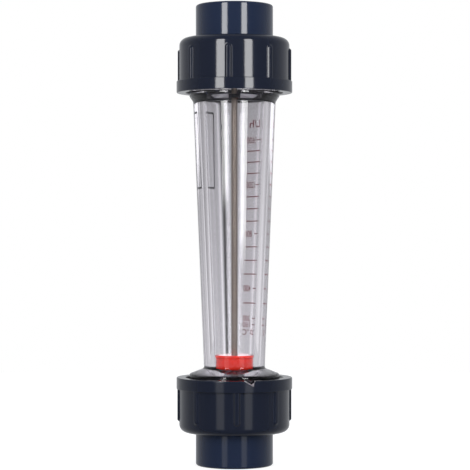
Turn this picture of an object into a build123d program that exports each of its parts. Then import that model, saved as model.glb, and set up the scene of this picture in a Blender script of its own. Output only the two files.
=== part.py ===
from build123d import *
import math
import os

# A tapered-tube flow meter with a union at each end, in millimetres.
# The origin is the centre of the lower socket's end face, +Z runs up along the tube and the
# printed scale lies behind the axis, on the +Y side.  Both unions are the same, so each of
# their pieces is made at the lower end and mirrored about the middle for the upper one.

# Whole meter
overall_length = 247.0

# Socket ends, which take a 32 mm pipe
socket_outer_radius = 20.75
socket_wall = 4.65
pipe_stop_width = 3.1
pipe_stop_height = 7.0
socket_reach = 17.9
collar_thickness = 6.0
socket_corner_rounding = 1.2
socket_mouth_rounding = 0.6

# Seal between a socket end's collar and the end face of the tube
seal_edge_distance = 3.0
seal_width = 2.9
seal_height = 2.4
seal_side_clearance = 0.2

# Union nuts
nut_height = 29.3
nut_end_wall = 5.1
nut_side_clearance = 0.7
nut_wall = 3.5
nut_flange_reach = 1.5
nut_flange_height = 6.3
nut_hole_clearance = 0.35
nut_shoulder_rounding = 4.0
nut_edge_rounding = 0.45
rib_count = 8
rib_reach = 1.05
rib_crest_width = 1.96
rib_crest_rounding = 0.6
rib_flank_angle = 50
rib_root_depth = 0.5
rib_nose_setback = 7.3
lower_rib_turn = 2.5
upper_rib_turn = -6.0

# Chip broken out of the lower nut's rim, in front and to the right of the axis
chip_width = 5.4
chip_depth = 3.0
chip_offset = 8.1
chip_tip_offset = 10.0

# Measuring tube, moulded in one piece with a threaded head at each end
bore_lower_radius = 10.1
bore_upper_radius = 16.8
tube_lower_wall = 6.2
tube_upper_wall = 5.35
support_ledge_width = 2.7
support_recess_depth = 10.0
head_end_width = 5.9
head_neck_depth = 1.45
head_neck_length = 4.5
head_shoulder_height = 3.0
head_shoulder_rounding = 1.4
thread_clearance = 0.35
thread_run_out = 2.7

# Rod supports, a ring and arms round a hub
support_side_clearance = 0.1
support_end_clearance = 0.2
support_ring_wall = 2.2
support_arm_count = 4
support_arm_width = 2.4
support_arm_height = 5.0
support_hub_radius = 3.6
support_hub_height = 6.8
support_hub_proud = 0.8

# Guide rod with a shoulder and a threaded end at each support
rod_radius = 1.6
rod_end_radius = 1.35
rod_end_reach = 1.0
rod_end_clearance = 0.05

# Washers and nuts that hold the rod
washer_radius = 3.5
washer_thickness = 0.6
rod_nut_width = 5.5
rod_nut_height = 2.4

# Rubber stops on the rod
stop_radius = 3.4
stop_bore_clearance = 0.1
lower_stop_height = 7.9
upper_stop_height = 4.0

# Float: a red shell and base with a steel weight between them
float_height = 11.6
float_wall_clearance = 0.4
float_rod_clearance = 0.3
float_rim_height = 1.3
float_rim_reach = 0.4
float_base_height = 3.5
float_base_taper = 1.7
float_skin = 2.2
float_sleeve_wall = 1.3
float_lid_step = 1.6
float_fit_clearance = 0.1
float_edge_rounding = 0.35

# Heights that follow from the sizes above
middle_height = overall_length / 2
collar_height = socket_reach + nut_end_wall
tube_end_height = collar_height + collar_thickness
pipe_bore_depth = tube_end_height - pipe_stop_height
nut_mouth_height = socket_reach + nut_height
thread_top_height = nut_mouth_height - thread_run_out
shoulder_foot_height = thread_top_height + head_neck_length
shoulder_top_height = shoulder_foot_height + head_shoulder_height
tube_top_height = overall_length - tube_end_height
ledge_height = tube_end_height + support_recess_depth
upper_ledge_height = overall_length - ledge_height
hub_face_height = ledge_height + support_hub_proud
upper_hub_face_height = overall_length - hub_face_height
hub_back_height = hub_face_height - support_hub_height
rod_nut_base_height = hub_back_height - washer_thickness - rod_nut_height
float_rest_height = hub_face_height + lower_stop_height
float_seam_height = float_rest_height + float_base_height
float_top_height = float_rest_height + float_height
float_roof_height = float_top_height - float_skin
float_rim_foot_height = float_top_height - float_rim_height

# Radii that follow from the sizes above
pipe_bore_radius = socket_outer_radius - socket_wall
flow_bore_radius = pipe_bore_radius - pipe_stop_width
tube_lower_radius = bore_lower_radius + tube_lower_wall
tube_upper_radius = bore_upper_radius + tube_upper_wall
support_recess_radius = bore_upper_radius + support_ledge_width
collar_radius = support_recess_radius + head_end_width
seal_middle_radius = collar_radius - seal_edge_distance
nut_bore_radius = collar_radius + nut_side_clearance
nut_body_radius = nut_bore_radius + nut_wall
nut_flange_radius = nut_body_radius + nut_flange_reach
nut_hole_radius = socket_outer_radius + nut_hole_clearance
head_thread_radius = nut_bore_radius - thread_clearance
head_neck_radius = head_thread_radius - head_neck_depth
bore_slope = (bore_upper_radius - bore_lower_radius) / (upper_ledge_height - ledge_height)
bore_radius_at_rim = bore_lower_radius + bore_slope * (float_rim_foot_height - ledge_height)
float_rim_radius = bore_radius_at_rim - float_wall_clearance
float_radius = float_rim_radius - float_rim_reach
float_bore_radius = rod_radius + float_rod_clearance
float_sleeve_radius = float_bore_radius + float_sleeve_wall
float_cavity_radius = float_radius - float_skin


def turned(*corners):
    """Solid of revolution about the axis; a corner is its radius, its height and its rounding."""
    outline = FilletPolyline(
        *[(radius, height) for radius, height, rounding in corners],
        radius=[rounding for radius, height, rounding in corners],
        close=True,
    )
    return revolve(make_face(Plane.XZ * outline), Axis.Z, 360)


def at_upper_end(piece):
    """The same piece at the upper union, mirrored about the middle of the meter."""
    return mirror(piece, about=Plane.XY.offset(middle_height))


def make_socket_end():
    """Socket with a pipe bore, a collar that the union nut pulls on and a groove for the seal."""
    groove_inner = seal_middle_radius - seal_width / 2 - seal_side_clearance
    groove_outer = seal_middle_radius + seal_width / 2 + seal_side_clearance
    groove_floor = tube_end_height - seal_height
    return turned(
        (pipe_bore_radius, 0, socket_mouth_rounding),
        (socket_outer_radius, 0, socket_corner_rounding),
        (socket_outer_radius, collar_height, 0),
        (collar_radius, collar_height, nut_edge_rounding),
        (collar_radius, tube_end_height, nut_edge_rounding),
        (groove_outer, tube_end_height, 0),
        (groove_outer, groove_floor, 0),
        (groove_inner, groove_floor, 0),
        (groove_inner, tube_end_height, 0),
        (flow_bore_radius, tube_end_height, 0),
        (flow_bore_radius, pipe_bore_depth, 0),
        (pipe_bore_radius, pipe_bore_depth, 0),
    )


def make_seal():
    """Rubber ring, pressed to a flattened section between the groove's floor and the tube."""
    inner = seal_middle_radius - seal_width / 2
    outer = seal_middle_radius + seal_width / 2
    floor = tube_end_height - seal_height
    side_rounding = seal_height * 0.45
    return turned(
        (inner, floor, side_rounding),
        (outer, floor, side_rounding),
        (outer, tube_end_height, side_rounding),
        (inner, tube_end_height, side_rounding),
    )


def make_finger_rib():
    """Rib on the +X side of a nut: sloping flanks, a rounded crest and a half-round nose."""
    spread = (rib_root_depth + rib_reach) / math.tan(math.radians(rib_flank_angle))
    half_width = rib_crest_width / 2 + spread
    nose_height = socket_reach + rib_nose_setback
    rib_top = nut_mouth_height - nut_flange_height / 2
    footprint = Pos(0, nose_height) * Circle(half_width)
    footprint += Pos(0, nose_height) * Rectangle(
        2 * half_width, rib_top - nose_height, align=(Align.CENTER, Align.MIN)
    )
    root = Plane((nut_body_radius - rib_root_depth, 0, 0), x_dir=(0, 1, 0), z_dir=(1, 0, 0))
    rib = extrude(root * footprint, rib_root_depth + rib_reach, taper=90 - rib_flank_angle)
    crest = rib.faces().sort_by(Axis.X)[-1]
    return fillet(crest.edges(), rib_crest_rounding)


def make_union_nut(rib_turn):
    """Ring nut with a flange round its mouth and finger ribs that run into the flange."""
    flange_foot = nut_mouth_height - nut_flange_height
    body = turned(
        (nut_hole_radius, socket_reach, nut_edge_rounding),
        (nut_body_radius, socket_reach, nut_shoulder_rounding),
        (nut_body_radius, flange_foot, 0),
        (nut_flange_radius, flange_foot, nut_edge_rounding),
        (nut_flange_radius, nut_mouth_height, nut_edge_rounding),
        (nut_bore_radius, nut_mouth_height, nut_edge_rounding),
        (nut_bore_radius, collar_height, 0),
        (nut_hole_radius, collar_height, 0),
    )
    rib = make_finger_rib()
    return body + [
        Rot(0, 0, rib_turn - 90 + number * 360 / rib_count) * rib for number in range(rib_count)
    ]


def chipped(nut):
    """The nut with a wedge missing from its rim, right through the wall."""
    outline = Polyline(
        (chip_offset - chip_width / 2, nut_mouth_height),
        (chip_tip_offset, nut_mouth_height - chip_depth),
        (chip_offset + chip_width / 2, nut_mouth_height),
        close=True,
    )
    return nut - extrude(make_face(Plane.XZ * outline), nut_flange_radius)


def make_measuring_tube():
    """Clear moulding: a tapered wall with a tapered bore, and at each end a threaded head."""
    return turned(
        (support_recess_radius, tube_end_height, 0),
        (head_thread_radius, tube_end_height, 0.8),
        (head_thread_radius, thread_top_height, 0.8),
        (head_neck_radius, thread_top_height, 0),
        (head_neck_radius, shoulder_foot_height, head_shoulder_rounding),
        (tube_lower_radius, shoulder_top_height, head_shoulder_rounding),
        (tube_upper_radius, overall_length - shoulder_top_height, head_shoulder_rounding),
        (head_neck_radius, overall_length - shoulder_foot_height, head_shoulder_rounding),
        (head_neck_radius, overall_length - thread_top_height, 0),
        (head_thread_radius, overall_length - thread_top_height, 0.8),
        (head_thread_radius, tube_top_height, 0.8),
        (support_recess_radius, tube_top_height, 0),
        (support_recess_radius, upper_ledge_height, 0),
        (bore_upper_radius, upper_ledge_height, 0.5),
        (bore_lower_radius, ledge_height, 0.5),
        (support_recess_radius, ledge_height, 0),
    )


def make_rod_support():
    """Ring seated on the ledge of the tube's recess, with arms that carry the rod in a hub."""
    ring_outer = support_recess_radius - support_side_clearance
    ring_inner = ring_outer - support_ring_wall
    ring_foot = tube_end_height + support_end_clearance
    support = turned(
        (ring_inner, ring_foot, 0),
        (ring_outer, ring_foot, 0),
        (ring_outer, ledge_height, 0),
        (ring_inner, ledge_height, 0),
    )
    arm_length = ring_inner + support_ring_wall / 2
    arm = Box(
        arm_length,
        support_arm_width,
        support_arm_height,
        align=(Align.MIN, Align.CENTER, Align.MAX),
    )
    arms = [
        Rot(0, 0, 45 + number * 360 / support_arm_count) * Pos(0, 0, ledge_height) * arm
        for number in range(support_arm_count)
    ]
    hub = turned(
        (0, hub_back_height, 0),
        (support_hub_radius, hub_back_height, 0.5),
        (support_hub_radius, hub_face_height, 0),
        (0, hub_face_height, 0),
    )
    support += arms + [hub]
    rod_hole = Cylinder(rod_end_radius + rod_end_clearance, 3 * support_hub_height)
    return support - Pos(0, 0, hub_face_height) * rod_hole


def make_guide_rod():
    """Steel rod whose shoulders bear on the two hubs and whose thinner ends pass through them."""
    end_height = rod_nut_base_height - rod_end_reach
    tip_rounding = 0.3
    return turned(
        (0, end_height, 0),
        (rod_end_radius, end_height, tip_rounding),
        (rod_end_radius, hub_face_height, 0),
        (rod_radius, hub_face_height, 0),
        (rod_radius, upper_hub_face_height, 0),
        (rod_end_radius, upper_hub_face_height, 0),
        (rod_end_radius, overall_length - end_height, tip_rounding),
        (0, overall_length - end_height, 0),
    )


def make_rod_washer():
    """Plain washer on the back of the hub."""
    inner = rod_end_radius + rod_end_clearance
    foot = hub_back_height - washer_thickness
    return turned(
        (inner, foot, 0),
        (washer_radius, foot, 0.1),
        (washer_radius, hub_back_height, 0.1),
        (inner, hub_back_height, 0),
    )


def make_rod_nut():
    """Hexagon nut on the rod's end; its thread is a plain bore."""
    hexagon = RegularPolygon(rod_nut_width / 2, 6, major_radius=False)
    bore = Circle(rod_end_radius + rod_end_clearance)
    return Pos(0, 0, rod_nut_base_height) * extrude(hexagon - bore, rod_nut_height)


def make_stop(foot, height):
    """Rubber sleeve on the rod that takes the float at the end of its travel."""
    inner = rod_radius + stop_bore_clearance
    return turned(
        (inner, foot, 0),
        (stop_radius, foot, 0.4),
        (stop_radius, foot + height, 0.4),
        (inner, foot + height, 0),
    )


def make_float_body():
    """Red shell open below: a rim round its top that is read against the scale, and a rod sleeve."""
    return turned(
        (float_bore_radius, float_seam_height, 0),
        (float_sleeve_radius, float_seam_height, 0),
        (float_sleeve_radius, float_roof_height, 0),
        (float_cavity_radius, float_roof_height, 0),
        (float_cavity_radius, float_seam_height, 0),
        (float_radius, float_seam_height, 0),
        (float_radius, float_rim_foot_height - float_rim_reach, 0),
        (float_rim_radius, float_rim_foot_height, 0),
        (float_rim_radius, float_top_height, float_edge_rounding),
        (float_bore_radius, float_top_height, float_edge_rounding),
    )


def make_float_base():
    """Red tapered base with a step that locates it inside the shell."""
    step_top = float_seam_height + float_lid_step
    step_inner = float_sleeve_radius + float_fit_clearance
    step_outer = float_cavity_radius - float_fit_clearance
    return turned(
        (float_bore_radius, float_rest_height, float_edge_rounding),
        (float_radius - float_base_taper, float_rest_height, float_edge_rounding),
        (float_radius, float_seam_height, 0),
        (step_outer, float_seam_height, 0),
        (step_outer, step_top, 0),
        (step_inner, step_top, 0),
        (step_inner, float_seam_height, 0),
        (float_bore_radius, float_seam_height, 0),
    )


def make_float_weight():
    """Steel ring closed in between the shell's roof and the base."""
    foot = float_seam_height + float_lid_step
    inner = float_sleeve_radius + float_fit_clearance
    outer = float_cavity_radius - float_fit_clearance
    return turned(
        (inner, foot, 0),
        (outer, foot, 0.3),
        (outer, float_roof_height, 0.3),
        (inner, float_roof_height, 0),
    )


upper_stop_foot = upper_hub_face_height - upper_stop_height
pieces = {
    "measuring_tube": make_measuring_tube(),
    "guide_rod": make_guide_rod(),
    "float_body": make_float_body(),
    "float_base": make_float_base(),
    "float_weight": make_float_weight(),
    "lower_stop": make_stop(hub_face_height, lower_stop_height),
    "upper_stop": make_stop(upper_stop_foot, upper_stop_height),
    "lower_union_nut": chipped(make_union_nut(lower_rib_turn)),
    "upper_union_nut": at_upper_end(make_union_nut(upper_rib_turn)),
}
for name, make_piece in (
    ("socket_end", make_socket_end),
    ("o_ring", make_seal),
    ("rod_support", make_rod_support),
    ("rod_washer", make_rod_washer),
    ("rod_nut", make_rod_nut),
):
    pieces["lower_" + name] = make_piece()
    pieces["upper_" + name] = at_upper_end(make_piece())

os.makedirs("parts", exist_ok=True)
for name, piece in pieces.items():
    export_step(piece, "parts/" + name + ".step")
    print(name, round(piece.volume), "mm3")

print("float travel", round(upper_stop_foot - float_top_height, 2))
print("float radius", round(float_radius, 3), "and at its rim", round(float_rim_radius, 3))
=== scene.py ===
import math

import bmesh
import bpy
from mathutils import Matrix, Vector
from mathutils.noise import noise_vector, seed_set


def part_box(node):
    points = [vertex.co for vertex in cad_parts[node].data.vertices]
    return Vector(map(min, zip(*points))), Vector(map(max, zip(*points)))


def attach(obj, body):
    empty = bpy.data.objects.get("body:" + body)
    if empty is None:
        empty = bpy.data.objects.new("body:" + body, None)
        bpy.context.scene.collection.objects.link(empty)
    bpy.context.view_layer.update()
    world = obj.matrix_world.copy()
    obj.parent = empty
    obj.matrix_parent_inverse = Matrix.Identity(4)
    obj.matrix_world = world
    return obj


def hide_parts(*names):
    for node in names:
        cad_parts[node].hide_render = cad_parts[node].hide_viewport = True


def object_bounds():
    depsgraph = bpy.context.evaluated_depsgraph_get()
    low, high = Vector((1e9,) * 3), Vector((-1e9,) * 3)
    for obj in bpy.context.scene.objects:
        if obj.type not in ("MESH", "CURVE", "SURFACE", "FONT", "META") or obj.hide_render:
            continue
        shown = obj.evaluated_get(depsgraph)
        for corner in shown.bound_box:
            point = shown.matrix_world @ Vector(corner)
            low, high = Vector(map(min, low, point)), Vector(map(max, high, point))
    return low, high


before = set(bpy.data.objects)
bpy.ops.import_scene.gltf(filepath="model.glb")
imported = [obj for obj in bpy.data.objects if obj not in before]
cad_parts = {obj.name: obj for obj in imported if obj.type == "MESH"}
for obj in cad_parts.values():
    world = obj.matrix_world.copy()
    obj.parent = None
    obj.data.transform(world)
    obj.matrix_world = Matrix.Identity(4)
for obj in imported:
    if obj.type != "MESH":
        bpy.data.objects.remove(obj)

packed_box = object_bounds()

# Camera.  The meter is seen level, from straight in front and at its mid height.  The focal
# length makes one millimetre on the meter's axis 1.86 pixels of a picture 470 pixels wide.
MM = 0.001
sensor = 36
picture_width = 470
pixels_per_mm = 1.86
camera_distance = 1000
axis_offset_pixels = 0.6
overall = packed_box[1].z / MM


def placed(name, data):
    """Puts a new object that shows this mesh, lettering or camera in the scene."""
    thing = bpy.data.objects.new(name, data)
    bpy.context.scene.collection.objects.link(thing)
    return thing


view_data = bpy.data.cameras.new("camera")
view_data.sensor_width = sensor
view_data.lens = sensor * pixels_per_mm * camera_distance / picture_width
view_data.shift_x = axis_offset_pixels / picture_width
view_data.clip_end = 20
camera = placed("camera", view_data)
camera.location = (0, -camera_distance * MM, overall / 2 * MM)
camera.rotation_euler = (math.pi / 2, 0, 0)
bpy.context.scene.camera = camera


# Socket ends.  Each is turned from dark PVC: a plain bore for a 32 mm pipe, a smaller flow bore
# behind it and a collar that the union nut pulls against the tube.  Both ends are the same.
ROUND_STEPS = 192
WELD = 0.001


def outlined(corners, rows=(), segments=5, wide_segments=5):
    """Draws a closed outline of (radius, height, rounding) corners to one side of the meter's axis.

    rows holds (radius, count) pairs: the upright stretch at that radius gets that many rows.
    Roundings of over a millimetre are drawn with wide_segments.
    """
    shape = bmesh.new()
    ends = [shape.verts.new((radius, 0, height)) for radius, height, rounding in corners]
    for start, stop in zip(ends, ends[1:] + ends[:1]):
        shape.edges.new((start, stop))
    for corner, (radius, height, rounding) in zip(ends, corners):
        if rounding:
            bmesh.ops.bevel(
                shape,
                geom=[corner],
                offset=rounding,
                offset_type="OFFSET",
                segments=wide_segments if rounding > 1 else segments,
                profile=0.5,
                affect="VERTICES",
                material=-1,
            )
    for radius, count in rows:
        upright = [
            edge
            for edge in shape.edges
            if all(abs(corner.co.x - radius) < WELD for corner in edge.verts)
        ]
        longest = max(upright, key=lambda edge: edge.calc_length())
        bmesh.ops.subdivide_edges(shape, edges=[longest], cuts=count - 1)
    return shape


def turned(corners, rows=(), steps=ROUND_STEPS):
    """Spins an outline once round the meter's axis, as a lathe would leave it."""
    shape = outlined(corners, rows)
    bmesh.ops.spin(
        shape,
        geom=shape.verts[:] + shape.edges[:],
        cent=(0, 0, 0),
        axis=(0, 0, 1),
        angle=2 * math.pi,
        steps=steps,
        use_merge=True,
    )
    bmesh.ops.remove_doubles(shape, verts=shape.verts[:], dist=WELD)
    return shape


def at_upper_end(shape):
    """Mirrors a shape made for the lower union to the upper one."""
    bmesh.ops.scale(shape, vec=(1, 1, -1), verts=shape.verts[:])
    bmesh.ops.translate(shape, vec=(0, 0, overall), verts=shape.verts[:])


def as_mesh(name, shape):
    """Makes a mesh of a shape that nothing more is done to."""
    mesh = bpy.data.meshes.new(name)
    shape.to_mesh(mesh)
    shape.free()
    return mesh


def finished(name, shape, material, sharp_angle=32):
    """Makes a shape in millimetres an object in metres, smooth but for its sharp edges."""
    bmesh.ops.recalc_face_normals(shape, faces=shape.faces[:])
    bmesh.ops.scale(shape, vec=(MM, MM, MM), verts=shape.verts[:])
    mesh = as_mesh(name, shape)
    mesh.shade_smooth()
    mesh.set_sharp_from_angle(angle=math.radians(sharp_angle))
    mesh.materials.append(material)
    piece = placed(name, mesh)
    even = piece.modifiers.new("even shading", "WEIGHTED_NORMAL")
    even.keep_sharp = True
    return piece


def new_material(name):
    """A new material and its Principled shader."""
    material = bpy.data.materials.new(name)
    material.use_nodes = True
    return material, material.node_tree.nodes["Principled BSDF"]


def grain(material, shader, size, height, roughness, roughness_spread):
    """Gives a surface a fine moulding grain: its size and height in millimetres."""
    nodes, links = material.node_tree.nodes, material.node_tree.links
    place = nodes.new("ShaderNodeTexCoord")
    noise = nodes.new("ShaderNodeTexNoise")
    noise.inputs["Scale"].default_value = 1 / (size * MM)
    noise.inputs["Detail"].default_value = 3
    links.new(place.outputs["Object"], noise.inputs["Vector"])
    bump = nodes.new("ShaderNodeBump")
    bump.inputs["Strength"].default_value = 1
    bump.inputs["Distance"].default_value = height * MM
    links.new(noise.outputs["Fac"], bump.inputs["Height"])
    links.new(bump.outputs["Normal"], shader.inputs["Normal"])
    spread = nodes.new("ShaderNodeMapRange")
    spread.inputs["To Min"].default_value = roughness - roughness_spread
    spread.inputs["To Max"].default_value = roughness + roughness_spread
    links.new(noise.outputs["Fac"], spread.inputs["Value"])
    links.new(spread.outputs["Result"], shader.inputs["Roughness"])
    return noise


dark_pvc, shader = new_material("dark PVC")
shader.inputs["Base Color"].default_value = (0.0132, 0.0208, 0.045, 1)
shader.inputs["IOR"].default_value = 1.5
grain(dark_pvc, shader, 0.6, 0.004, 0.1, 0.03)

socket_radius = 20.75
socket_corner = 1.2
pipe_bore = 16.1
pipe_bore_depth = 22
flow_bore = 13
collar_radius = 25.4
tube_foot = 29
collar_foot = 23
groove = (20.75, 24.05)
seal_height = 2.4
for end in ("lower", "upper"):
    socket = turned(
        (
            (pipe_bore, 0, 0.6),
            (socket_radius, 0, socket_corner),
            (socket_radius, collar_foot, 0.3),
            (collar_radius, collar_foot, 0.45),
            (collar_radius, tube_foot, 0.45),
            (groove[1], tube_foot, 0.2),
            (groove[1], tube_foot - seal_height, 0.2),
            (groove[0], tube_foot - seal_height, 0.2),
            (groove[0], tube_foot, 0.2),
            (flow_bore, tube_foot, 0.4),
            (flow_bore, pipe_bore_depth, 0.3),
            (pipe_bore, pipe_bore_depth, 0.3),
        )
    )
    if end == "upper":
        at_upper_end(socket)
    piece = finished(end + "_socket", socket, dark_pvc)
    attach(piece, end + "_end")
    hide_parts(end + "_socket_end")


# Seals.  A black rubber ring in the groove of each collar, pressed flat by the tube.
rubber, shader = new_material("black rubber")
shader.inputs["Base Color"].default_value = (0.025, 0.025, 0.03, 1)
grain(rubber, shader, 0.25, 0.006, 0.55, 0.08)

seal_radii = (20.95, 23.85)
for end in ("lower", "upper"):
    seal = turned(
        (
            (seal_radii[0], tube_foot - seal_height, 1.05),
            (seal_radii[1], tube_foot - seal_height, 1.05),
            (seal_radii[1], tube_foot, 1.05),
            (seal_radii[0], tube_foot, 1.05),
        )
    )
    if end == "upper":
        at_upper_end(seal)
    piece = finished(end + "_seal", seal, rubber)
    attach(piece, end + "_end")
    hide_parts(end + "_o_ring")


# Rod supports.  A plastic ring seated in each of the tube's heads, with four arms that carry a hub
# on the axis and leave the flow four windows.  Both are one plastic: dark below as painted shade,
# pale above as painted light.
support_painted_light_and_shade = {}
# One plastic in two copies: the lower one's dark colour is painted shade, the upper one's pale
# colour is painted light.
for end, colour in (("lower", (0.1, 0.09, 0.12, 1)), ("upper", (0.85, 0.84, 0.87, 1))):
    support_painted_light_and_shade[end], shader = new_material(end + " support plastic")
    shader.inputs["Base Color"].default_value = colour
    grain(support_painted_light_and_shade[end], shader, 0.4, 0.006, 0.38, 0.06)

ring_radii = (17.2, 19.4)
ring_heights = (29.2, 39)
hub_radius = 3.6
hub_heights = (33, 39.8)
rod_hole = 1.4
arm_width = 2.4
arm_height = 5
arm_drop = 0.02
arm_rounding = 0.5
arm_count = 4
first_arm = 45
for end in ("lower", "upper"):
    support = turned(
        (
            (ring_radii[0], ring_heights[0], 0.3),
            (ring_radii[1], ring_heights[0], 0.3),
            (ring_radii[1], ring_heights[1], 0.3),
            (ring_radii[0], ring_heights[1], 0.3),
        )
    )
    hub = turned(
        (
            (rod_hole, hub_heights[0], 0.15),
            (hub_radius, hub_heights[0], 0.5),
            (hub_radius, hub_heights[1], 0.25),
            (rod_hole, hub_heights[1], 0.15),
        ),
        steps=72,
    )
    hub_mesh = as_mesh("hub", hub)
    support.from_mesh(hub_mesh)
    bpy.data.meshes.remove(hub_mesh)
    for number in range(arm_count):
        inner_end = (rod_hole + hub_radius) / 2
        outer_end = sum(ring_radii) / 2
        arm = bmesh.ops.create_cube(support, size=1)["verts"]
        arm_middle = ring_heights[1] - arm_drop - arm_height / 2
        bmesh.ops.scale(support, vec=(outer_end - inner_end, arm_width, arm_height), verts=arm)
        bmesh.ops.translate(
            support, vec=((inner_end + outer_end) / 2, 0, arm_middle), verts=arm
        )
        long_edges = [
            edge
            for edge in {edge for end_point in arm for edge in end_point.link_edges}
            if abs(edge.verts[0].co.x - edge.verts[1].co.x) > 1
        ]
        rounded = bmesh.ops.bevel(
            support,
            geom=long_edges,
            offset=arm_rounding,
            offset_type="OFFSET",
            segments=4,
            profile=0.5,
            affect="EDGES",
            material=-1,
        )
        arm = list({corner for face in rounded["faces"] for corner in face.verts})
        turn = Matrix.Rotation(math.radians(first_arm + number * 360 / arm_count), 3, "Z")
        bmesh.ops.rotate(support, cent=(0, 0, 0), matrix=turn, verts=arm)
    if end == "upper":
        at_upper_end(support)
    piece = finished(end + "_spider", support, support_painted_light_and_shade[end])
    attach(piece, "tube")
    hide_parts(end + "_rod_support")


# Guide rod.  Drawn stainless steel, turned down at each end for a fine thread, which isn't cut
# here, with a washer and a hexagon nut that clamp it behind each hub.
steel, shader = new_material("drawn steel")
shader.inputs["Base Color"].default_value = (0.33, 0.28, 0.235, 1)
shader.inputs["Metallic"].default_value = 1
noise = grain(steel, shader, 0.15, 0.002, 0.42, 0.05)
stretch = steel.node_tree.nodes.new("ShaderNodeMapping")
stretch.inputs["Scale"].default_value = (1, 1, 0.04)
place = noise.inputs["Vector"].links[0].from_socket
steel.node_tree.links.new(place, stretch.inputs["Vector"])
steel.node_tree.links.new(stretch.outputs["Vector"], noise.inputs["Vector"])

rod_radius = 1.6
rod_end_radius = 1.35
rod_tip = 29
rod = turned(
    (
        (0, rod_tip, 0),
        (rod_end_radius, rod_tip, 0.25),
        (rod_end_radius, hub_heights[1], 0),
        (rod_radius, hub_heights[1], 0.1),
        (rod_radius, overall - hub_heights[1], 0.1),
        (rod_end_radius, overall - hub_heights[1], 0),
        (rod_end_radius, overall - rod_tip, 0.25),
        (0, overall - rod_tip, 0),
    ),
    steps=64,
)
piece = finished("rod", rod, steel)
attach(piece, "tube")
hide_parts("guide_rod")

washer_radius = 3.5
washer_heights = (32.4, 33)
nut_width = 5.5
nut_heights = (30, 32.4)
flat = nut_width / 2
point = flat / math.cos(math.pi / 6)
chamfer = (point - flat) * math.tan(math.radians(30))
for end in ("lower", "upper"):
    washer = turned(
        (
            (rod_hole, washer_heights[0], 0.05),
            (washer_radius, washer_heights[0], 0.15),
            (washer_radius, washer_heights[1], 0.15),
            (rod_hole, washer_heights[1], 0.05),
        ),
        steps=64,
    )
    hex_nut = turned(
        (
            (rod_hole, nut_heights[0], 0.1),
            (flat, nut_heights[0], 0),
            ((flat + point) / 2, nut_heights[0] + chamfer / 2, 0),
            (point, nut_heights[0] + chamfer, 0),
            (point, nut_heights[1], 0),
            (rod_hole, nut_heights[1], 0),
        ),
        steps=96,
    )
    for corner in hex_nut.verts:
        radius = math.hypot(corner.co.x, corner.co.y)
        angle = math.atan2(corner.co.y, corner.co.x)
        off_flat = (angle + math.pi / 6) % (math.pi / 3) - math.pi / 6
        limit = flat / math.cos(off_flat)
        if radius > limit:
            corner.co.x *= limit / radius
            corner.co.y *= limit / radius
    if end == "upper":
        at_upper_end(washer)
        at_upper_end(hex_nut)
    for name, shape, node in (("washer", washer, "rod_washer"), ("hex_nut", hex_nut, "rod_nut")):
        piece = finished(end + "_" + name, shape, steel)
        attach(piece, "tube")
        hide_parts(end + "_" + node)


# Stops.  Black rubber sleeves on the rod that take the float at both ends of its travel.
stop_radius = 3.4
stop_bore = 1.7
for end in ("lower", "upper"):
    low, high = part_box(end + "_stop")
    stop = turned(
        (
            (stop_bore, low.z / MM, 0.1),
            (stop_radius, low.z / MM, 0.4),
            (stop_radius, high.z / MM, 0.4),
            (stop_bore, high.z / MM, 0.1),
        ),
        steps=72,
    )
    piece = finished(end + "_sleeve", stop, rubber)
    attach(piece, "tube")
    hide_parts(end + "_stop")


# Float.  A red shell with a roof and a rim round it, closed below by a tapered red base, with a
# steel ring inside for its weight.  The shell's rim is read against the scale.
red_plastic, shader = new_material("red plastic")
shader.inputs["Base Color"].default_value = (0.95, 0.022, 0.006, 1)
grain(red_plastic, shader, 0.5, 0.001, 0.05, 0.02)

float_foot, float_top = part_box("float_base")[0].z / MM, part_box("float_body")[1].z / MM
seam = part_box("float_body")[0].z / MM
rim_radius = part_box("float_body")[1].x / MM
rim_height = 1.3
rim_reach = 0.4
rim_foot = float_top - rim_height
float_radius = rim_radius - rim_reach
float_bore = 1.9
sleeve_radius = 3.2
shell_wall = 2.2
roof_height = float_top - shell_wall
cavity_radius = float_radius - shell_wall
base_tip_radius = float_radius - 1.7
step_height = 1.6
fit = 0.1

shell = turned(
    (
        (float_bore, seam, 0),
        (sleeve_radius, seam, 0),
        (sleeve_radius, roof_height, 0.3),
        (cavity_radius, roof_height, 0.3),
        (cavity_radius, seam, 0),
        (float_radius, seam, 0.2),
        (float_radius, rim_foot - rim_reach, 0.15),
        (rim_radius, rim_foot, 0.1),
        (rim_radius, float_top, 0.35),
        (float_bore, float_top, 0.35),
    )
)
base = turned(
    (
        (float_bore, float_foot, 0.35),
        (base_tip_radius, float_foot, 0.5),
        (float_radius, seam, 0.25),
        (cavity_radius - fit, seam, 0),
        (cavity_radius - fit, seam + step_height, 0.1),
        (sleeve_radius + fit, seam + step_height, 0.1),
        (sleeve_radius + fit, seam, 0),
        (float_bore, seam, 0),
    )
)
weight = turned(
    (
        (sleeve_radius + fit, seam + step_height, 0.1),
        (cavity_radius - fit, seam + step_height, 0.3),
        (cavity_radius - fit, roof_height, 0.3),
        (sleeve_radius + fit, roof_height, 0.1),
    )
)
for name, shape, material, node, slot in (
    ("float_shell", shell, red_plastic, "float_body", "red_plastic"),
    ("float_foot", base, red_plastic, "float_base", "red_plastic"),
    ("float_ring", weight, steel, "float_weight", "steel"),
):
    piece = finished(name, shape, material)
    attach(piece, "float")
    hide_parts(node)


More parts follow.
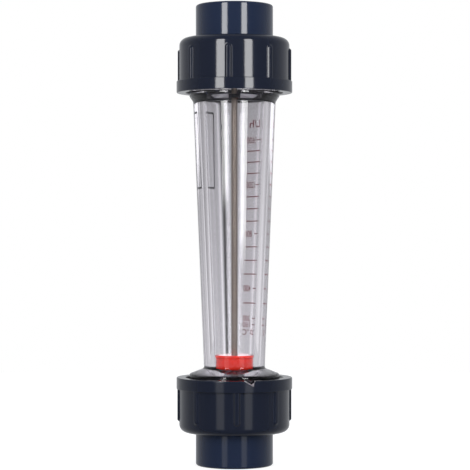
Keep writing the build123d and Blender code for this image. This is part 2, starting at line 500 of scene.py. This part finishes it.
# Measuring tube.  One thick clear moulding, polished inside and out: a tapered wall round a
# tapered bore, and at each end a threaded head with a recess for the rod support.
clear_plastic, shader = new_material("clear plastic")
shader.inputs["Base Color"].default_value = (0.805, 0.802, 0.82, 1)
shader.inputs["Transmission Weight"].default_value = 1
shader.inputs["Roughness"].default_value = 0
shader.inputs["IOR"].default_value = 1.49
tint = clear_plastic.node_tree.nodes.new("ShaderNodeVolumeAbsorption")
tint.inputs["Color"].default_value = (0.495, 0.478, 0.522, 1)
tint.inputs["Density"].default_value = 56
clear_plastic.node_tree.links.new(
    tint.outputs["Volume"], clear_plastic.node_tree.nodes["Material Output"].inputs["Volume"]
)

recess_radius = 19.5
ledge = 39
thread_crest = 25.75
thread_root = 24.5
thread_end = 44.5
thread_pitch = 4
thread_rows = 62
thread_run_out = 1.2
neck_radius = 24.3
shoulder_foot = 49
shoulder_top = 52
tube_radii = (16.3, 22.15)
bore_radii = (10.1, 16.8)


def moved_out(corner, radius):
    """Moves a corner straight out from the meter's axis, or in, to a radius."""
    present = math.hypot(corner.co.x, corner.co.y)
    corner.co.x *= radius / present
    corner.co.y *= radius / present


def threaded(shape, surface, plain, tip, lowest, highest, run_out, half_turns=0):
    """Cuts a right-handed thread into the rows at the surface's radius, between two heights.

    The teeth reach the tip radius.  Between them, and where they run out, the plain radius is left.
    Two threads half a turn apart mesh.
    """
    off_surface = 0.002
    valley, flank = 0.28, 0.44
    for corner in shape.verts:
        height = corner.co.z
        radius = math.hypot(corner.co.x, corner.co.y)
        if abs(radius - surface) > off_surface or not lowest < height < highest:
            continue
        turns = height / thread_pitch - math.atan2(corner.co.y, corner.co.x) / (2 * math.pi)
        wave = abs(2 * ((turns + half_turns / 2) % 1) - 1)
        tooth = min(max((wave - valley) / flank, 0), 1)
        fade = min(height - lowest, highest - height, run_out) / run_out
        moved_out(corner, plain + (tip - plain) * tooth * fade)


tube = turned(
    (
        (recess_radius, tube_foot, 0.3),
        (thread_crest, tube_foot, 0.8),
        (thread_crest, thread_end, 0.2),
        (neck_radius, thread_end, 0),
        (neck_radius, shoulder_foot, 0.97),
        (tube_radii[0], shoulder_top, 1.01),
        (tube_radii[1], overall - shoulder_top, 0.9),
        (neck_radius, overall - shoulder_foot, 0.9),
        (neck_radius, overall - thread_end, 0),
        (thread_crest, overall - thread_end, 0.2),
        (thread_crest, overall - tube_foot, 0.8),
        (recess_radius, overall - tube_foot, 0.3),
        (recess_radius, overall - ledge, 0),
        (bore_radii[1], overall - ledge, 0.5),
        (bore_radii[0], ledge, 0.5),
        (recess_radius, ledge, 0),
    ),
    rows=((thread_crest, thread_rows), (thread_crest, thread_rows)),
    steps=256,
)
for foot, top in ((tube_foot, thread_end), (overall - thread_end, overall - tube_foot)):
    threaded(tube, thread_crest, thread_root, thread_crest, foot, top, thread_run_out)
piece = finished("clear_tube", tube, clear_plastic, sharp_angle=40)
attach(piece, "tube")
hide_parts("measuring_tube")


# Printed scale.  Dark red ink on the outside of the tube's far side, so that it is read from
# behind and shows mirrored through the tube.  A long mark for every 100 litres an hour, a short
# one beside each number, and a bare black frame further round.
red_ink, shader = new_material("red ink")
shader.inputs["Base Color"].default_value = (0.14, 0.0005, 0.003, 1)
shader.inputs["Transmission Weight"].default_value = 1
shader.inputs["IOR"].default_value = 1
shader.inputs["Roughness"].default_value = 0.05
black_ink, shader = new_material("black ink")
shader.inputs["Base Color"].default_value = (0.012, 0.011, 0.015, 1)
grain(black_ink, shader, 0.2, 0.002, 0.45, 0.06)
ink_height = 0.03
letter_boldness = 0.008
tube_slope = (tube_radii[1] - tube_radii[0]) / (overall - 2 * shoulder_top)


def print_on_tube(name, shape, material):
    """Wraps a flat shape in millimetres round the tube and makes it a piece.

    Its x runs round the tube to the right, as a reader behind the meter sees it, from the middle of
    the far side, and its y is the height on the meter.
    """
    for corner in shape.verts:
        height = corner.co.y
        radius = tube_radii[0] + tube_slope * (height - shoulder_top) + ink_height
        angle = math.pi / 2 + corner.co.x / radius
        corner.co = (radius * math.cos(angle), radius * math.sin(angle), height)
    bmesh.ops.scale(shape, vec=(MM, MM, MM), verts=shape.verts[:])
    for face in shape.faces:
        outward = Vector((face.calc_center_median().x, face.calc_center_median().y, 0))
        face.normal_update()
        if face.normal.dot(outward) < 0:
            face.normal_flip()
    mesh = as_mesh(name, shape)
    mesh.materials.append(material)
    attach(placed(name, mesh), "tube")


def bar(shape, left, right, middle_height, height, columns=12, rows=1):
    """Adds a flat bar from left to right, cut into columns so that it can follow the tube."""
    made = bmesh.ops.create_grid(shape, x_segments=columns, y_segments=rows, size=0.5)["verts"]
    bmesh.ops.scale(shape, vec=(right - left, height, 1), verts=made)
    bmesh.ops.translate(shape, vec=((left + right) / 2, middle_height, 0), verts=made)


def lettering(shape, words, left, right, base_height, letter_height):
    """Adds words that fill the width from left to right at the given letter height."""
    curve = bpy.data.curves.new(words, "FONT")
    curve.body = words
    curve.resolution_u = 4
    curve.offset = letter_boldness
    carrier = placed(words, curve)
    bpy.context.view_layer.update()
    mesh = bpy.data.meshes.new_from_object(carrier)
    letters = bmesh.new()
    letters.from_mesh(mesh)
    across = [corner.co.x for corner in letters.verts]
    upward = [corner.co.y for corner in letters.verts]
    bmesh.ops.translate(letters, vec=(-min(across), -min(upward), 0), verts=letters.verts[:])
    size = (
        (right - left) / (max(across) - min(across)),
        letter_height / (max(upward) - min(upward)),
        1,
    )
    bmesh.ops.scale(letters, vec=size, verts=letters.verts[:])
    bmesh.ops.translate(letters, vec=(left, base_height, 0), verts=letters.verts[:])
    letters.to_mesh(mesh)
    letters.free()
    shape.from_mesh(mesh)
    bpy.data.meshes.remove(mesh)
    bpy.data.objects.remove(carrier)
    bpy.data.curves.remove(curve)


highest_mark = 175.1
marks_stretch = 203.6
marks_curve = 0.36
full_flow = 1600


def mark_height(flow):
    """Height of a flow in litres an hour on the scale: the marks close up towards the top."""
    at_full = math.sqrt(1 + marks_curve * full_flow / 400)
    return highest_mark - marks_stretch * (at_full - math.sqrt(1 + marks_curve * flow / 400))


scale_foot, scale_top = 73.6, 175.7
left_margin, left_spread = 22.4, 2.4
right_margin, right_spread = 6.1, 2.6


def margins(height):
    """Where the marks start and where the numbers end, round the tube, at a height."""
    share = (height - scale_foot) / (scale_top - scale_foot)
    return -(left_margin + left_spread * share), -(right_margin + right_spread * share)


line_width = 0.55
short_mark = 6.4
digit_width = 2.2
digit_height = 3.5
low_digit_height = 3
last_low_flow = 200
scale_marks = bmesh.new()
numbered = (160, 200, 400, 800, 1200, full_flow)
for flow in sorted({*range(200, full_flow + 1, 100), *numbered}):
    height = mark_height(flow)
    start, end = margins(height)
    if flow in numbered:
        bar(scale_marks, start, start + short_mark, height, line_width)
        digits = str(flow)
        tall = digit_height if flow > last_low_flow else low_digit_height
        left = end - digit_width * len(digits)
        lettering(scale_marks, digits, left, end, height - tall / 2, tall)
    else:
        bar(scale_marks, start, end, height, line_width)
for words, foot, margin_height, gap, width, tall in (
    ("L/h", highest_mark + 6.8, highest_mark + 8, 2.2, 11.8, 4.2),
    ("20 °C", mark_height(160) - 5.6, 69.3, 0, 13.2, 3.2),
):
    right = margins(margin_height)[1] - gap
    lettering(scale_marks, words, right - width, right, foot, tall)
print_on_tube("scale_print", scale_marks, red_ink)

frame_left, frame_right = 16.5, 29
frame_low, frame_high = 148.9, 189.6
frame_line, frame_cross_line = 0.9, 1.1
frame_print = bmesh.new()
for height in (frame_low, frame_high):
    bar(frame_print, frame_left, frame_right, height, frame_cross_line, columns=14)
for side in (frame_left, frame_right):
    left, right = side - frame_line / 2, side + frame_line / 2
    middle_height, height = (frame_low + frame_high) / 2, frame_high - frame_low
    bar(frame_print, left, right, middle_height, height, columns=1, rows=30)
print_on_tube("frame_print", frame_print, black_ink)


# Union nuts.  Dark PVC ring nuts with a female thread, a flange round the mouth and eight raised
# finger bars that start in a round nose and run up into the flange.  The lower one has a chip
# broken out of its rim.
nut_pvc, shader = new_material("nut PVC")
shader.inputs["Base Color"].default_value = (0.0098, 0.013, 0.0245, 1)
shader.inputs["IOR"].default_value = 1.5
grain(nut_pvc, shader, 0.6, 0.004, 0.1, 0.03)

nut_foot = 17.9
nut_mouth = 47.2
nut_floor = 23
nut_hole = 21.1
nut_radius = 29.6
flange_radius = 31.1
flange_foot = 40.9
nut_bore = 26.1
thread_clearance = 0.35
bar_count = 8
bar_height = 1.05
bar_half_land = 0.7
bar_crest_rounding = 0.6
bar_foot_rounding = 0.5
bar_flank = math.radians(50)
bar_nose = 25.2
bar_reach = 2.15
bar_steps, gap_steps = 30, 14
outside_rows = 50
thread_start = 0.8
nut_run_out = 1


def bar_profile(distance):
    """Height of a finger bar at a distance from its middle line: land, flank and two fillets."""
    crest_run = bar_crest_rounding * math.sin(bar_flank)
    crest_drop = bar_crest_rounding * (1 - math.cos(bar_flank))
    foot_run = bar_foot_rounding * math.sin(bar_flank)
    foot_rise = bar_foot_rounding * (1 - math.cos(bar_flank))
    flank_run = (bar_height - crest_drop - foot_rise) / math.tan(bar_flank)
    past = distance - bar_half_land
    if past <= 0:
        return bar_height
    if past < crest_run:
        return bar_height - bar_crest_rounding + math.sqrt(bar_crest_rounding**2 - past**2)
    past -= crest_run
    if past < flank_run:
        return bar_height - crest_drop - past * math.tan(bar_flank)
    past = foot_run - (past - flank_run)
    if past > 0:
        return bar_foot_rounding - math.sqrt(bar_foot_rounding**2 - past**2)
    return 0


# The chip's faces: broken PVC whitened by the break, and painted paler still as a painted highlight
# for the glint on its edge.
whitened_pvc_and_painted_glint, shader = new_material("broken PVC with painted glint")
shader.inputs["Base Color"].default_value = (0.5, 0.46, 0.49, 1)
grain(whitened_pvc_and_painted_glint, shader, 0.5, 0.06, 0.35, 0.08)

chip_width = 5.4
chip_depth = 3
chip_middle, chip_tip = 8.1, 10
chip_overshoot = 0.5
chip_radii = (nut_bore - 3, flange_radius + 1)
chip_roughness, chip_lumps = 0.22, 0.9
chip_cuts = 9
chip_seed = 1


def chipped(nut):
    """Breaks a wedge out of the nut's rim, right through the wall, with rough pale faces:
    stress-whitened PVC, painted paler still as a painted highlight.
    """
    wedge = bmesh.new()
    past_rim = (chip_depth + chip_overshoot) / chip_depth
    for depth in chip_radii:
        for mouth_place in (chip_middle - chip_width / 2, chip_middle + chip_width / 2):
            across = chip_tip + (mouth_place - chip_tip) * past_rim
            wedge.verts.new((across, -depth, nut_mouth + chip_overshoot))
        wedge.verts.new((chip_tip, -depth, nut_mouth - chip_depth))
    bmesh.ops.convex_hull(wedge, input=wedge.verts[:])
    bmesh.ops.triangulate(wedge, faces=wedge.faces[:])
    bmesh.ops.subdivide_edges(wedge, edges=wedge.edges[:], cuts=chip_cuts, use_grid_fill=True)
    seed_set(chip_seed)
    for corner in wedge.verts:
        corner.co += chip_roughness * noise_vector(corner.co * chip_lumps)
    for face in wedge.faces:
        face.material_index = 1
    carriers = []
    for shape in (nut, wedge):
        bmesh.ops.recalc_face_normals(shape, faces=shape.faces[:])
        mesh = as_mesh("carrier", shape)
        mesh.materials.append(nut_pvc)
        mesh.materials.append(whitened_pvc_and_painted_glint)
        carriers.append(placed("carrier", mesh))
    cut = carriers[0].modifiers.new("chip", "BOOLEAN")
    cut.operation = "DIFFERENCE"
    cut.solver = "EXACT"
    cut.object = carriers[1]
    bpy.context.view_layer.update()
    shown = carriers[0].evaluated_get(bpy.context.evaluated_depsgraph_get())
    left = bpy.data.meshes.new_from_object(shown)
    chipped_nut = bmesh.new()
    chipped_nut.from_mesh(left)
    bpy.data.meshes.remove(left)
    for carrier in carriers:
        bpy.data.meshes.remove(carrier.data)
    return chipped_nut


bar_pitch = 2 * math.pi / bar_count
bar_angle = 2 * bar_reach / nut_radius
for end, first_bar in (("lower", 2.5), ("upper", -6)):
    nut = outlined(
        (
            (nut_hole, nut_foot, 0.45),
            (nut_radius, nut_foot, 4),
            (nut_radius, flange_foot, 0),
            (flange_radius, flange_foot, 0.4),
            (flange_radius, nut_mouth, 0.45),
            (nut_bore, nut_mouth, 0.6),
            (nut_bore, nut_floor, 0),
            (nut_hole, nut_floor, 0),
        ),
        rows=((nut_radius, outside_rows), (nut_bore, thread_rows)),
        segments=4,
        wide_segments=12,
    )
    last = nut.verts[:] + nut.edges[:]
    half_back = Matrix.Rotation(-bar_angle / 2, 3, "Z")
    bmesh.ops.rotate(nut, cent=(0, 0, 0), matrix=half_back, verts=nut.verts[:])
    for number in range(bar_count):
        for angle, steps in ((bar_angle, bar_steps), (bar_pitch - bar_angle, gap_steps)):
            last = bmesh.ops.spin(
                nut, geom=last, cent=(0, 0, 0), axis=(0, 0, 1), angle=angle, steps=steps
            )["geom_last"]
    bmesh.ops.remove_doubles(nut, verts=nut.verts[:], dist=WELD)
    for corner in nut.verts:
        if abs(math.hypot(corner.co.x, corner.co.y) - nut_radius) < 2 * WELD:
            angle = math.atan2(corner.co.y, corner.co.x)
            aside = ((angle + bar_pitch / 2) % bar_pitch - bar_pitch / 2) * nut_radius
            along = min(0, corner.co.z - bar_nose)
            moved_out(corner, nut_radius + bar_profile(math.hypot(aside, along)))
    thread_foot, thread_top = tube_foot, nut_mouth - thread_start
    if end == "upper":
        at_upper_end(nut)
        thread_foot, thread_top = overall - thread_top, overall - thread_foot
    to_front = Matrix.Rotation(math.radians(first_bar - 90), 3, "Z")
    bmesh.ops.rotate(nut, cent=(0, 0, 0), matrix=to_front, verts=nut.verts[:])
    tooth_radius = thread_root + thread_clearance
    threaded(
        nut, nut_bore, nut_bore, tooth_radius, thread_foot, thread_top, nut_run_out, half_turns=1
    )
    if end == "lower":
        nut = chipped(nut)
    piece = finished(end + "_nut", nut, nut_pvc, sharp_angle=40)
    if end == "lower":
        piece.data.materials.append(whitened_pvc_and_painted_glint)
    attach(piece, end + "_nut")
    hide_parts(end + "_union_nut")


# Table and studio.  A pale table top, a white surround, panels behind the meter that its clear tube
# bends into bright and dark lines, and two upright strip lights, one each side of the camera, that
# draw the long highlights on the round pieces.
table_radius = 0.7
table_drop = 0.0002
table_grey = 0.3
bare_level, far_level, light_below = 0.86, 0.9, 5
near_reach, far_reach = 0.15, 0.35


def feed(tree, value, socket):
    """Gives a socket its value: a number, or another socket that works it out."""
    if isinstance(value, (int, float)):
        socket.default_value = value
    else:
        tree.links.new(value, socket)


def worked_out(tree, operation, *values):
    """The result of one step of arithmetic on numbers and sockets."""
    step = tree.nodes.new("ShaderNodeMath")
    step.operation = operation
    for value, socket in zip(values, step.inputs):
        feed(tree, value, socket)
    return step.outputs["Value"]


def spread_over(tree, source, low, high, at_low, at_high, smooth=True):
    """Turns a socket's range from low to high into one from at_low to at_high."""
    spread = tree.nodes.new("ShaderNodeMapRange")
    spread.interpolation_type = "SMOOTHSTEP" if smooth else "LINEAR"
    feed(tree, source, spread.inputs["Value"])
    feed(tree, low, spread.inputs["From Min"])
    feed(tree, high, spread.inputs["From Max"])
    feed(tree, at_low, spread.inputs["To Min"])
    feed(tree, at_high, spread.inputs["To Max"])
    return spread.outputs["Result"]


table = bmesh.new()
bmesh.ops.create_circle(table, cap_ends=True, segments=96, radius=table_radius)
table_top = placed("table", as_mesh("table", table))
table_top.location.z = -table_drop
table_top.visible_glossy = False

# The camera sees the table at one even level.  Seen through the tube it has the far level, but near
# the meter it lights the pieces inside the tube from below with a higher one.
table_paint = bpy.data.materials.new("table paint")
table_paint.use_nodes = True
paint = table_paint.node_tree
paint.nodes.clear()
path = paint.nodes.new("ShaderNodeLightPath").outputs
place = paint.nodes.new("ShaderNodeTexCoord")
reach = paint.nodes.new("ShaderNodeVectorMath")
reach.operation = "LENGTH"
paint.links.new(place.outputs["Object"], reach.inputs[0])
lights = worked_out(paint, "GREATER_THAN", path["Diffuse Depth"], 0.5)
near_level = worked_out(paint, "MULTIPLY_ADD", lights, light_below - far_level, far_level)
through_level = spread_over(
    paint, reach.outputs["Value"], near_reach, far_reach, near_level, far_level, smooth=False
)
seen_level = worked_out(paint, "MULTIPLY", path["Is Camera Ray"], bare_level)
level = worked_out(paint, "MULTIPLY_ADD", path["Is Transmission Ray"], through_level, seen_level)
glow = paint.nodes.new("ShaderNodeEmission")
feed(paint, level, glow.inputs["Strength"])
pale = paint.nodes.new("ShaderNodeBsdfDiffuse")
pale.inputs["Color"].default_value = (table_grey, table_grey, table_grey, 1)
both = paint.nodes.new("ShaderNodeAddShader")
paint.links.new(pale.outputs["BSDF"], both.inputs[0])
paint.links.new(glow.outputs["Emission"], both.inputs[1])
output = paint.nodes.new("ShaderNodeOutputMaterial")
paint.links.new(both.outputs["Shader"], output.inputs["Surface"])
table_top.data.materials.append(table_paint)

surround = bpy.data.worlds.new("studio")
bpy.context.scene.world = surround
surround.use_nodes = True
studio = surround.node_tree
studio.nodes.clear()
path = studio.nodes.new("ShaderNodeLightPath").outputs
place = studio.nodes.new("ShaderNodeTexCoord")
toward = studio.nodes.new("ShaderNodeSeparateXYZ")
studio.links.new(place.outputs["Generated"], toward.inputs["Vector"])
toward = toward.outputs


def background(colour, strength=1):
    """A world shader of one colour, as strong as a number or a socket says."""
    shader = studio.nodes.new("ShaderNodeBackground")
    shader.inputs["Color"].default_value = (*colour, 1)
    feed(studio, strength, shader.inputs["Strength"])
    return shader


def mixed(share, first, second):
    """Mixes two world shaders by a socket that says how much of the second shows."""
    mix = studio.nodes.new("ShaderNodeMixShader")
    studio.links.new(share, mix.inputs["Fac"])
    studio.links.new(first.outputs[0], mix.inputs[1])
    studio.links.new(second.outputs[0], mix.inputs[2])
    return mix


# The panels and gaps of the studio behind the meter, as its tube shows them: how bright they are
# at so many degrees to the right of straight behind.  They are brighter below than above.
panels = (
    (-70, 1.1), (-62, 1.3), (-52, 0.9), (-45, 0.72), (-41, 0.8), (-38, 0.35), (-35, 1.2),
    (-33.5, 1.4), (-31, 1.6), (-28, 1.1), (-24, 0.95), (-17, 1.1), (-12, 0.92), (-9.4, 1.15),
    (-8.2, 1.9), (-7, 1.2), (-6.2, 0.45), (-5.6, 0.08), (-4.9, 0.08), (-4.3, 0.45), (-3.5, 1),
    (14, 1), (17, 1.35), (19.5, 1.7), (23, 1.1), (29, 0.9), (36, 1), (41, 1.25), (48, 1.35),
    (56, 1.15), (70, 1.1),
)
widest = 70
brightest = 2
bearing = worked_out(studio, "ARCTAN2", toward["X"], toward["Y"])
across = spread_over(
    studio, bearing, -math.radians(widest), math.radians(widest), 0, 1, smooth=False
)
ramp = studio.nodes.new("ShaderNodeValToRGB")
studio.links.new(across, ramp.inputs["Fac"])
stops = ramp.color_ramp.elements
while len(stops) < len(panels):
    stops.new(0.5)
for stop, (degrees, brightness) in zip(stops, panels):
    stop.position = (degrees + widest) / (2 * widest)
    stop.color = (brightness / brightest,) * 3 + (1,)
fall = spread_over(studio, toward["Z"], -0.06, 0.06, 1.14, 0.72, smooth=False)
panel_level = worked_out(studio, "MULTIPLY", ramp.outputs["Color"], fall)
panel_level = worked_out(studio, "MULTIPLY", panel_level, brightest)
in_front = spread_over(studio, toward["Y"], -0.75, -0.2, 0.5, 1)
panel_level = worked_out(studio, "MULTIPLY", panel_level, in_front)

# A light overhead for the pieces inside the tube, of which the tube itself shows only a little, and
# a bright backdrop straight behind that shows only where a piece seen through the tube mirrors it.
light_above = 5.5
light_edge, light_middle = 0.22, 0.6
seen_above = 0.15
backdrop_glow = 2
lights = worked_out(studio, "GREATER_THAN", path["Diffuse Depth"], 0.5)
shown_above = worked_out(studio, "MULTIPLY_ADD", lights, 1 - seen_above, seen_above)
above = spread_over(studio, toward["Z"], light_edge, light_middle, 0, light_above)
level = worked_out(studio, "MULTIPLY_ADD", shown_above, above, panel_level)
reflected = worked_out(studio, "GREATER_THAN", path["Glossy Depth"], 0.5)
backdrop_sides = spread_over(studio, toward["Y"], 0.92, 0.975, 0, 1)
backdrop_foot = spread_over(studio, toward["Z"], 0.03, 0.055, 0, backdrop_glow)
backdrop = worked_out(studio, "MULTIPLY", backdrop_sides, backdrop_foot)
level = worked_out(studio, "MULTIPLY_ADD", reflected, backdrop, level)

room = background((0.55, 0.57, 0.62))
mirrored = background((0.95, 0.97, 1), spread_over(studio, toward["Y"], -0.6, 0.9, 0.09, 0.6))
through = background((1, 0.995, 1), level)
white = background((1, 1, 1))
seen = mixed(path["Is Glossy Ray"], room, mirrored)
seen = mixed(path["Is Transmission Ray"], seen, through)
seen = mixed(path["Is Camera Ray"], seen, white)
output = studio.nodes.new("ShaderNodeOutputWorld")
studio.links.new(seen.outputs["Shader"], output.inputs["Surface"])

strip_distance = 1.2
strip_width = 0.34
strip_foot, strip_top = -0.26, 0.83
strip_bearing = 29
strip_glow, foot_glow = 10, 0.8
for side, fade in ((-1, (0.05, 0.1)), (1, (-0.02, 0.05))):
    strip = bmesh.new()
    bmesh.ops.create_grid(strip, x_segments=1, y_segments=1, size=0.5)
    corners = strip.verts[:]
    bmesh.ops.scale(strip, vec=(strip_width, strip_top - strip_foot, 1), verts=corners)
    upright = Matrix.Rotation(math.pi / 2, 3, "X")
    bmesh.ops.rotate(strip, cent=(0, 0, 0), matrix=upright, verts=corners)
    bmesh.ops.translate(strip, vec=(0, -strip_distance, (strip_top + strip_foot) / 2), verts=corners)
    to_side = Matrix.Rotation(math.radians(strip_bearing * side), 3, "Z")
    bmesh.ops.rotate(strip, cent=(0, 0, 0), matrix=to_side, verts=corners)
    light = placed("strip light", as_mesh("strip light", strip))
    light.visible_camera = False
    lamp = bpy.data.materials.new("strip light")
    lamp.use_nodes = True
    tube_light = lamp.node_tree
    tube_light.nodes.clear()
    place = tube_light.nodes.new("ShaderNodeTexCoord")
    parts = tube_light.nodes.new("ShaderNodeSeparateXYZ")
    tube_light.links.new(place.outputs["Object"], parts.inputs["Vector"])
    glow = tube_light.nodes.new("ShaderNodeEmission")
    brightness = spread_over(tube_light, parts.outputs["Z"], *fade, foot_glow, strip_glow)
    feed(tube_light, brightness, glow.inputs["Strength"])
    output = tube_light.nodes.new("ShaderNodeOutputMaterial")
    tube_light.links.new(glow.outputs["Emission"], output.inputs["Surface"])
    light.data.materials.append(lamp)

bpy.context.scene.view_settings.view_transform = "Standard"
